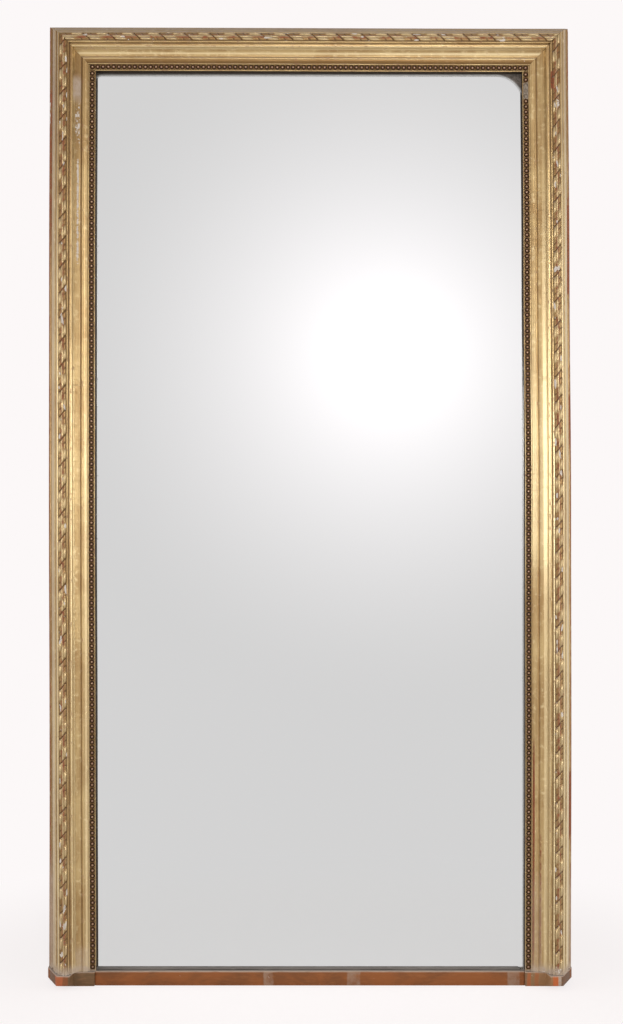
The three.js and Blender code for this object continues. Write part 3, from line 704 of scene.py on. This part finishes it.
def gilding(name, along, worn=0.0, grime_and_shade_reach=0.0, grime_and_shade_depth=0.5, relief_highlight=0.0):
    """Old water gilding: warm gold, bole on the arrises, dirt and painted shade in the hollows, dust on what faces up,
    and a few chips down to the gesso.
    The tone mark paints highlight and shade, and raised carving can be painted paler as a highlight. along is the axis
    that the moulding runs on."""
    f = Finish(name)
    drawn = [1, 1, 1]
    drawn[along] = 0.035
    streaks = f.noise(f.stretched(drawn), 420, 4, 0.6)
    patches = f.noise(f.place, 9, 4, 0.6, 0.4)
    mottle = f.noise(f.place, 95, 5, 0.62)
    grain = f.noise(f.place, 900, 2, 0.5)
    relief = f.mark("relief")
    bare = f.mark("bare")
    chip = f.mark("chip")

    tone = f.between(f.math("ADD", patches, f.math("MULTIPLY", streaks, 0.5)), 0.55, 0.95)
    colour = f.blend(tone, GOLD_DEEP, GOLD)
    colour = f.blend(f.between(mottle, 0.5, 0.78, 0, 0.6), colour, GOLD_PALE)
    # The tone mark paints highlight and shade band by band: paler gold where it is high, browner where it is low, with
    # how bright the gilding has stayed.
    tone_and_painted_light = f.mark("tone")
    colour = f.blend(f.between(tone_and_painted_light, 0.5, 1, 0, 0.9), colour, GOLD_PALE)
    colour = f.blend(f.between(tone_and_painted_light, 0.5, 0, 0, 0.9), colour, GOLD_BROWN)
    # Painted highlight: the raised carving is painted paler.
    if relief_highlight:
        colour = f.blend(f.between(relief, 0.55, 0.85, 0, relief_highlight), colour, GOLD_PALE)

    arris = f.between(relief, 0.66, 0.95)
    rubbed = f.product(arris, f.between(f.math("ADD", mottle, worn), 0.52, 0.7), 0.75)
    scuffed = f.between(f.math("MULTIPLY", mottle, patches), 0.36, 0.47, 0, 0.5)
    rim = f.between(f.math("ADD", bare, f.math("MULTIPLY", mottle, 0.9)), 0.72, 1.1)
    bole = f.most(rubbed, scuffed, rim)
    colour = f.blend(bole, colour, f.blend(f.between(grain, 0.35, 0.7), BOLE_DARK, BOLE))

    # Dirt and painted shade: the hollows are painted dark brown.
    hollow = f.between(f.math("SUBTRACT", relief, grime_and_shade_reach), 0.44, 0.1)
    grime_and_shade = f.product(hollow, f.between(mottle, 0.2, 0.55, 0.6, 1), grime_and_shade_depth)
    colour = f.blend(grime_and_shade, colour, GRIME_AND_SHADE)

    settled = f.product(f.between(f.upward(), 0.25, 0.8), f.between(mottle, 0.3, 0.6, 0.45, 0.95))
    dusty = f.product(f.mark("dust"), f.between(mottle, 0.3, 0.6, 0.6, 1))
    settled = f.most(settled, dusty)
    colour = f.blend(settled, colour, DUST)

    flakes = f.product(f.between(f.noise(f.place, 38, 6, 0.7), 0.7, 0.73), f.between(relief, 0.3, 0.6))
    ragged = f.math("ADD", f.noise(f.place, 170, 5, 0.7), f.math("MULTIPLY", mottle, 0.6))
    placed = f.between(f.math("ADD", chip, ragged), 1.22, 1.34)
    chipped = f.most(flakes, placed)
    colour = f.blend(chipped, colour, GESSO)

    dull = f.most(bole, grime_and_shade, settled, chipped)
    metallic = f.between(dull, 0, 0.8, f.between(tone_and_painted_light, 0.6, 1, 0.55, 0.85), 0.0)
    roughness = f.math("ADD", f.between(dull, 0, 0.8, 0.31, 0.7), f.math("MULTIPLY", grain, 0.08))
    crazing = f.cracks(f.stretched([4 if i != along else 26 for i in range(3)]), 3.2, 0.012)
    bumps = ((grain, 0.00008), (streaks, 0.00008), (f.math("SUBTRACT", mottle, crazing), 0.00015))
    return f.close(colour, roughness, metallic, bumps, specular_ior_level=0.3)


def blackened(name):
    """Wood at the sight edge, blackened so that the glass doesn't show it."""
    f = Finish(name)
    fibre = f.noise(f.place, 400, 4, 0.6)
    colour = f.blend(f.between(fibre, 0.35, 0.65), srgb(40, 33, 26), srgb(70, 58, 46))
    return f.close(colour, 0.85, 0.0, ((fibre, 0.0002),), specular_ior_level=0.1)


def bead_gilding(name):
    """Beads with a painted highlight on their crowns, dark patina and painted shade down their sides and in the hollow
    round them, and gilt cusps between them.
    """
    f = Finish(name)
    mottle = f.noise(f.place, 170, 4, 0.6)
    patches = f.noise(f.place, 12, 3)
    relief = f.mark("relief")
    crown = f.between(relief, 0.76, 0.97)
    gilt = f.product(f.between(relief, 0.4, 0.5), f.between(relief, 0.64, 0.58), f.between(mottle, 0.25, 0.5, 0.5, 1))
    # Dark patina and painted shade in the ring round each bead.
    ring = f.blend(f.between(mottle, 0.35, 0.7), srgb(44, 28, 16), srgb(74, 48, 28))
    dome = f.blend(f.between(mottle, 0.3, 0.65), srgb(92, 60, 40), srgb(126, 88, 60))
    body = f.blend(f.between(relief, 0.6, 0.7), ring, dome)
    cusp = f.blend(f.mark("tone"), srgb(112, 82, 44), srgb(190, 160, 114))
    colour = f.blend(f.math("MULTIPLY", gilt, 0.8), body, cusp)
    # Painted highlight: a pale pinkish gold on each crown.
    light = f.blend(f.between(patches, 0.4, 0.6), srgb(166, 142, 128), srgb(192, 166, 140))
    colour = f.blend(f.product(crown, f.between(mottle, 0.2, 0.5, 0.7, 1)), colour, light)
    lost = f.product(f.mark("bare"), f.between(mottle, 0.3, 0.6, 0.6, 1))
    colour = f.blend(lost, colour, srgb(150, 138, 124))
    metallic = f.product(f.most(crown, gilt), f.between(lost, 0, 1, 0.3, 0))
    return f.close(colour, f.between(crown, 0, 1, 0.5, 0.34), metallic, ((mottle, 0.0003),),
                   specular_ior_level=0.25)


def silvering(name):
    """Silvered plate glass, clouded and darkened grey-brown at its upper corners, foxed along its sides, and with a
    painted shadow along its top edge where the frame's lip shades it.
    """
    f = Finish(name)
    x, z = f.axis(0), f.axis(2)
    sight_top = TOP - SIGHT
    sight_half = HALF - SIGHT
    # The darkened corners run into a band along the whole top edge, which is painted shadow from the frame's lip.
    dark_corners_and_lip_shade = None
    for side, radius, inset in ((-1, 11 * MM, 0), (1, 52 * MM, 1.5 * MM)):
        centre_x = sight_half - inset - radius
        beyond_x = f.math("MAXIMUM", f.math("SUBTRACT", f.math("MULTIPLY", x, side), centre_x), 0)
        beyond_z = f.math("MAXIMUM", f.math("SUBTRACT", z, sight_top - 5 * MM - radius), 0)
        squares = f.math("ADD", f.math("MULTIPLY", beyond_x, beyond_x), f.math("MULTIPLY", beyond_z, beyond_z))
        reach = f.math("SQRT", squares)
        outside = f.between(reach, radius - 3 * MM, radius + 5 * MM)
        dark_corners_and_lip_shade = outside if dark_corners_and_lip_shade is None else f.most(dark_corners_and_lip_shade, outside)
    specks = f.noise(f.place, 160, 5, 0.7)
    edge = f.between(f.math("ABSOLUTE", x), sight_half - 7 * MM, sight_half + 2 * MM)
    foxed = f.product(edge, f.between(specks, 0.56, 0.7), 0.7)
    darkened_and_shaded = f.most(dark_corners_and_lip_shade, foxed)
    brown_and_shade = f.blend(f.between(specks, 0.35, 0.65), srgb(60, 52, 44), srgb(100, 90, 82))
    # Painted shadow: the band along the top edge is painted darker still, as the frame's lip shades it.
    brown_and_shade = f.blend(f.between(z, sight_top - 3 * MM, sight_top - MM), brown_and_shade, srgb(46, 38, 30))
    colour = f.blend(darkened_and_shaded, srgb(214, 217, 217), brown_and_shade)
    ripple = f.noise(f.place, 5, 1, 0.3)
    return f.close(colour, f.between(darkened_and_shaded, 0, 1, 0.015, 0.55), f.between(darkened_and_shaded, 0, 1, 1, 0.15),
                   ((ripple, 0.00006),))


RAIL_SCUFFS = ((-0.084, -0.070), (0.072, 0.092), (0.372, 0.390))  # along x, where the paint is worn grey

# Along x, the colours of the faces of the plinth blocks, with painted light and shade: faces turned to the front are
# paler, faces turned aside darker, and one narrow face is a pale chip.
BLOCK_FACE_COLOURS_AND_SHADE = (
    (-0.60, -0.472, (100, 70, 46)),
    (-0.472, -0.456, (172, 94, 58)),
    (-0.456, -0.446, (128, 76, 44)),
    (-0.446, -0.30, (98, 76, 50)),
    (0.30, 0.4065, (128, 100, 74)),
    (0.4065, 0.413, (166, 98, 58)),
    (0.413, 0.4135, (134, 104, 72)),
    (0.4135, 0.4200, (138, 108, 74)),
    (0.4200, 0.4275, (158, 98, 58)),
    (0.4275, 0.4505, (146, 110, 74)),
    (0.4505, 0.4606, (190, 98, 50)),
    (0.4606, 0.4660, (176, 160, 146)),
    (0.4660, 0.60, (104, 78, 58)),
)


def distemper(name, base, under, light, faces=(), scuffs=()):
    """Old terracotta distemper on a board: rubbed along its top edge, scuffed through in patches."""
    f = Finish(name)
    streaks = f.noise(f.stretched((0.16, 1, 1)), 260, 5, 0.65)
    patches = f.noise(f.stretched((0.5, 1, 1)), 22, 5, 0.65, 0.6)
    grain = f.noise(f.place, 700, 3)
    colour = f.blend(f.between(patches, 0.35, 0.65), under, base)
    # On the plinth blocks these face colours carry painted light and shade.
    for low, high, tint in faces:
        edge = f.math("MULTIPLY", f.math("SUBTRACT", patches, 0.5), 8 * MM)
        colour = f.blend(f.math("MULTIPLY", f.band(0, low, high, 1.5 * MM, edge), 0.88), colour, srgb(*tint))
    colour = f.blend(f.between(streaks, 0.45, 0.75, 0, 0.45), colour, light)
    for low, high in scuffs:
        ragged = f.math("ADD", f.noise(f.place, 60, 4, 0.65), f.math("MULTIPLY", patches, 0.5))
        worn = f.between(f.math("ADD", f.band(0, low, high, 9 * MM), ragged), 1.4, 1.9, 0, 0.9)
        colour = f.blend(worn, colour, srgb(150, 122, 102))
    top = f.math("SUBTRACT", f.axis(2), FOOT - 2.6 * MM)
    rubbed = f.product(f.between(top, 0, 1.8 * MM), f.between(streaks, 0.3, 0.55, 0.4, 1))
    colour = f.blend(f.math("MULTIPLY", rubbed, 0.8), colour, srgb(200, 172, 152))
    settled = f.between(f.upward(), 0.4, 0.9, 0, 0.8)
    colour = f.blend(settled, colour, srgb(150, 140, 132))
    chips = f.between(f.noise(f.place, 70, 5, 0.7), 0.7, 0.72)
    colour = f.blend(chips, colour, srgb(222, 210, 200))
    return f.close(colour, f.between(streaks, 0.3, 0.7, 0.55, 0.75), 0.0,
                   ((grain, 0.0002), (streaks, 0.0003), (patches, 0.0006)), specular_ior_level=0.25)


def strip_paint(name):
    """The dark strip in front of the foot of the glass, grey with dust."""
    f = Finish(name)
    streaks = f.noise(f.stretched((0.1, 1, 1)), 300, 4, 0.6)
    patches = f.noise(f.stretched((0.3, 1, 1)), 30, 4, 0.6)
    colour = f.blend(f.between(patches, 0.35, 0.65), srgb(60, 57, 56), srgb(96, 92, 88))
    colour = f.blend(f.between(f.upward(), 0.3, 0.9, 0, 0.6), colour, srgb(124, 116, 110))
    colour = f.blend(f.between(streaks, 0.55, 0.75, 0, 0.5), colour, srgb(140, 132, 126))
    return f.close(colour, 0.7, 0.0, ((streaks, 0.0003),))


def timber(name, along, pale, dark, stain):
    """Old softwood seen from the back: grain along one axis, darker late wood, knots' clouding and dirt."""
    f = Finish(name)
    drawn = [9, 9, 9]
    drawn[along] = 0.5
    wave = f.add("ShaderNodeTexWave", wave_type="RINGS", rings_direction="XYZ"[along])
    f.feed(wave.inputs["Vector"], f.stretched(drawn, (0.37, 0.11, 0.23)))
    wave.inputs["Scale"].default_value = 4.2
    wave.inputs["Distortion"].default_value = 5.5
    wave.inputs["Detail"].default_value = 3
    wave.inputs["Detail Scale"].default_value = 1.2
    fibre_scale = [1, 1, 1]
    fibre_scale[along] = 0.03
    fibre = f.noise(f.stretched(fibre_scale), 700, 4, 0.6)
    cloud = f.noise(f.place, 6, 4, 0.6)
    colour = f.blend(f.between(wave.outputs["Fac"], 0.35, 0.9, 0, 0.7), pale, dark)
    colour = f.blend(f.between(fibre, 0.4, 0.75, 0, 0.45), colour, dark)
    colour = f.blend(f.between(cloud, 0.42, 0.7, 0, 0.6), colour, stain)
    return f.close(colour, f.between(fibre, 0.3, 0.7, 0.62, 0.82), 0.0,
                   ((fibre, 0.0003), (wave.outputs["Fac"], 0.0003)))


def iron(name, bright):
    """Hand-worked iron, brown with old rust and brighter where it has been handled."""
    f = Finish(name)
    cloud = f.noise(f.place, 90, 5, 0.65)
    grain = f.noise(f.place, 1200, 3)
    rust = f.between(cloud, 0.48, 0.66)
    colour = f.blend(rust, bright, srgb(104, 66, 44))
    return f.close(colour, f.between(rust, 0, 1, 0.42, 0.85), f.between(rust, 0, 1, 0.9, 0.1),
                   ((grain, 0.0001), (cloud, 0.0003)))


# ---- putting the object together ----

def wear_material(piece, *materials):
    if piece.data.materials:
        piece.data.materials.clear()
    for material in materials:
        piece.data.materials.append(material)


def dress(node, material):
    """Gives a CAD node that stays in view a better material."""
    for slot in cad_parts[node].material_slots:
        slot.material = material


def build_frame():
    vertical = gilding("gilding_upright", 2)
    level = gilding("gilding_level", 0)
    carved_upright = gilding("gilding_carved_upright", 2, -0.02, 0.12, 0.85, 0.35)
    carved_level = gilding("gilding_carved_level", 0, -0.02, 0.12, 0.85, 0.35)
    beads = bead_gilding("gilding_beads")
    bare_wood = blackened("blackened_wood")
    bead_start = SIGHT - 0.8 * MM
    runs = {
        "left": (bead_start, TOP - FOOT - 3.5 * MM),
        "right": (3.5 * MM, TOP - FOOT - bead_start),
        "top": (BEAD["from"] * MM, 2 * HALF - BEAD["from"] * MM),
    }
    for side in SIDES.values():
        upright = side.name != "top"
        wear_material(build_moulding(side, 260 if upright else 150), vertical if upright else level, bare_wood)
        wear_material(build_ribbon(side, 1.2), carved_upright if upright else carved_level)
        wear_material(build_beads(side, runs[side.name]), beads)


def build_base():
    rail = distemper("paint_rail", srgb(140, 82, 42), srgb(116, 70, 38), srgb(156, 102, 64), scuffs=RAIL_SCUFFS)
    block = distemper("paint_blocks", srgb(140, 86, 56), srgb(104, 74, 50), srgb(160, 116, 84), faces=BLOCK_FACE_COLOURS_AND_SHADE)
    wear_material(worn_copy("base_rail", 0.9, 0.3), rail)
    for name in ("left", "right"):
        wear_material(worn_copy(f"plinth_block_{name}", 0.8, 0.3), block)
    wear_material(worn_copy("bottom_fillet", 0.5, 0.2, 0.56), strip_paint("paint_strip"))


def build_back():
    pale, dark, stain = srgb(186, 150, 106), srgb(136, 98, 62), srgb(118, 90, 64)
    carcass = {2: timber("pine_upright", 2, pale, dark, stain), 0: timber("pine_level", 0, pale, dark, stain)}
    board_tones = srgb(172, 134, 92), srgb(124, 88, 56), srgb(104, 78, 56)
    board = {2: timber("board_upright", 2, *board_tones), 0: timber("board_level", 0, *board_tones)}
    panel = timber("panel_upright", 2, srgb(180, 146, 104), srgb(138, 102, 68), srgb(120, 94, 70))
    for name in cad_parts:
        if name.startswith("stile_"):
            wear_material(worn_copy(name, 0.7, 0.15), carcass[2])
        elif name == "top_rail":
            wear_material(worn_copy(name, 0.7, 0.15), carcass[0])
        elif name.startswith("parquet_stile"):
            wear_material(worn_copy(name, 0.7, 0.1), board[2])
        elif name.startswith("parquet_rail"):
            wear_material(worn_copy(name, 0.7, 0.1), board[0])
        elif name.startswith("parquet_panel"):
            wear_material(worn_copy(name, 0.5, 0.1), panel)


def build_fittings():
    beech = timber("beech", 2, srgb(196, 160, 120), srgb(160, 120, 84), srgb(140, 108, 78))
    plate = iron("wrought_iron", srgb(112, 106, 100))
    screw = iron("screw_iron", srgb(128, 122, 114))
    dress("mirror_plate", silvering("silvered_glass_aged"))
    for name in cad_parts:
        if name.startswith(("glass_packing", "mitre_key")):
            dress(name, beech)
        elif name.startswith("hanger_plate"):
            dress(name, plate)
        elif "screw" in name:
            dress(name, screw)


# ---- floor, light and camera ----

def seen_directly(tree):
    """1 for rays that show the surroundings: from the camera, or off metal and glass."""
    path = tree.nodes.new("ShaderNodeLightPath")
    total = path.outputs["Is Camera Ray"]
    for name in ("Is Glossy Ray", "Is Transmission Ray"):
        node = tree.nodes.new("ShaderNodeMath")
        node.operation = "MAXIMUM"
        tree.links.new(total, node.inputs[0])
        tree.links.new(path.outputs[name], node.inputs[1])
        total = node.outputs["Value"]
    return total


def build_world():
    world = bpy.data.worlds.new("studio")
    world.use_nodes = True
    tree = world.node_tree
    tree.nodes.clear()
    light = tree.nodes.new("ShaderNodeBackground")
    light.inputs["Color"].default_value = (1, 0.985, 0.97, 1)
    light.inputs["Strength"].default_value = 0.34
    backdrop = tree.nodes.new("ShaderNodeBackground")
    backdrop.inputs["Color"].default_value = srgb(*BACKDROP)
    mix = tree.nodes.new("ShaderNodeMixShader")
    output = tree.nodes.new("ShaderNodeOutputWorld")
    tree.links.new(seen_directly(tree), mix.inputs[0])
    tree.links.new(light.outputs[0], mix.inputs[1])
    tree.links.new(backdrop.outputs[0], mix.inputs[2])
    tree.links.new(mix.outputs[0], output.inputs[0])
    bpy.context.scene.world = world


def disc(name, radius, rings, spokes):
    points = [Vector((0, 0, 0))]
    faces = []
    for r in range(1, rings + 1):
        for s in range(spokes):
            angle = 2 * math.pi * s / spokes
            points.append(Vector((math.cos(angle), math.sin(angle), 0)) * radius * (r / rings) ** 2)
    for s in range(spokes):
        faces.append((0, 1 + s, 1 + (s + 1) % spokes))
    for r in range(rings - 1):
        for s in range(spokes):
            inner, outer = 1 + r * spokes, 1 + (r + 1) * spokes
            faces.append((inner + s, outer + s, outer + (s + 1) % spokes, inner + (s + 1) % spokes))
    return add_piece(name, points, faces)


def build_floor():
    """A pale floor that takes the object's shadow and fades into the backdrop."""
    floor = disc("floor", 14, 24, 64)
    f = Finish("pale_floor")
    tree = f.tree
    lit = f.add("ShaderNodeBsdfDiffuse")
    lit.inputs["Color"].default_value = (0.25, 0.24, 0.24, 1)
    fill = f.add("ShaderNodeEmission")
    fill.inputs["Color"].default_value = srgb(*BACKDROP)
    fill.inputs["Strength"].default_value = 0.8
    near = f.add("ShaderNodeAddShader")
    tree.links.new(lit.outputs[0], near.inputs[0])
    tree.links.new(fill.outputs[0], near.inputs[1])
    far = f.add("ShaderNodeEmission")
    far.inputs["Color"].default_value = srgb(*BACKDROP)
    distance = f.add("ShaderNodeVectorMath", operation="LENGTH")
    tree.links.new(f.place, distance.inputs[0])
    fade = f.between(distance.outputs["Value"], 0.55, 1.1)
    seen = f.add("ShaderNodeMixShader")
    tree.links.new(fade, seen.inputs[0])
    tree.links.new(near.outputs[0], seen.inputs[1])
    tree.links.new(far.outputs[0], seen.inputs[2])
    plain = f.add("ShaderNodeBsdfDiffuse")
    plain.inputs["Color"].default_value = (0.8, 0.78, 0.77, 1)
    mix = f.add("ShaderNodeMixShader")
    tree.links.new(seen_directly(tree), mix.inputs[0])
    tree.links.new(plain.outputs[0], mix.inputs[1])
    tree.links.new(seen.outputs[0], mix.inputs[2])
    tree.links.new(mix.outputs[0], f.output.inputs["Surface"])
    wear_material(floor, f.material)


def build_glow():
    """The soft patch of room light that the glass shows, seen only by reflections."""
    card = disc("room_glow", GLOW["radius"], 6, 48)
    card.rotation_euler = (math.radians(90), 0, 0)
    card.location = GLOW["place"]
    f = Finish("room_glow")
    distance = f.add("ShaderNodeVectorMath", operation="LENGTH")
    f.tree.links.new(f.place, distance.inputs[0])
    fall = f.math("SUBTRACT", 1, f.math("DIVIDE", distance.outputs["Value"], GLOW["radius"]), clamp=True)
    glow = f.add("ShaderNodeEmission")
    glow.inputs["Color"].default_value = (1, 0.92, 0.945, 1)
    f.feed(glow.inputs["Strength"], f.math("MULTIPLY", f.math("POWER", fall, 1.86), GLOW["strength"]))
    clear = f.add("ShaderNodeBsdfTransparent")
    both = f.add("ShaderNodeAddShader")
    f.tree.links.new(glow.outputs[0], both.inputs[0])
    f.tree.links.new(clear.outputs[0], both.inputs[1])
    f.tree.links.new(both.outputs[0], f.output.inputs["Surface"])
    wear_material(card, f.material)
    for ray in ("camera", "diffuse", "transmission", "volume_scatter", "shadow"):
        setattr(card, f"visible_{ray}", False)


def add_lamp(name, place, target, size, power, shape="RECTANGLE"):
    data = bpy.data.lights.new(name, "AREA")
    data.shape = shape
    data.size, data.size_y = size
    data.energy = power
    data.color = (1, 0.985, 0.96)
    lamp = bpy.data.objects.new(name, data)
    lamp.location = place
    lamp.rotation_euler = (Vector(target) - Vector(place)).to_track_quat("-Z", "Y").to_euler()
    bpy.context.scene.collection.objects.link(lamp)


def add_camera():
    data = bpy.data.cameras.new("camera")
    data.lens = LENS
    data.sensor_width = 36
    data.clip_end = 60
    camera = bpy.data.objects.new("camera", data)
    camera.location = CAMERA_PLACE
    camera.rotation_euler = (math.radians(90), 0, 0)
    bpy.context.scene.collection.objects.link(camera)
    bpy.context.scene.camera = camera


bpy.context.scene.view_settings.view_transform = "Standard"
add_camera()
build_world()
build_floor()
build_glow()
add_lamp("round_light", (0.346, -3.98, 1.588), (0.2, 0, 1.2), (0.5, 0.5), 46, "DISK")
add_lamp("softbox_right", (2.3, -2.4, 1.2), (0, 0, 1.1), (1.2, 0.6), 20)
add_lamp("softbox_left", (-2.3, -2.4, 1.2), (0, 0, 1.1), (1.2, 0.6), 17)
add_lamp("rim_light_right", (2.4, -0.6, 1.15), (-0.44, 0, 1.05), (0.6, 0.9), 11)
add_lamp("rim_light_left", (-2.4, -0.6, 1.15), (0.44, 0, 1.05), (0.6, 0.9), 11)
build_frame()
build_base()
build_back()
build_fittings()
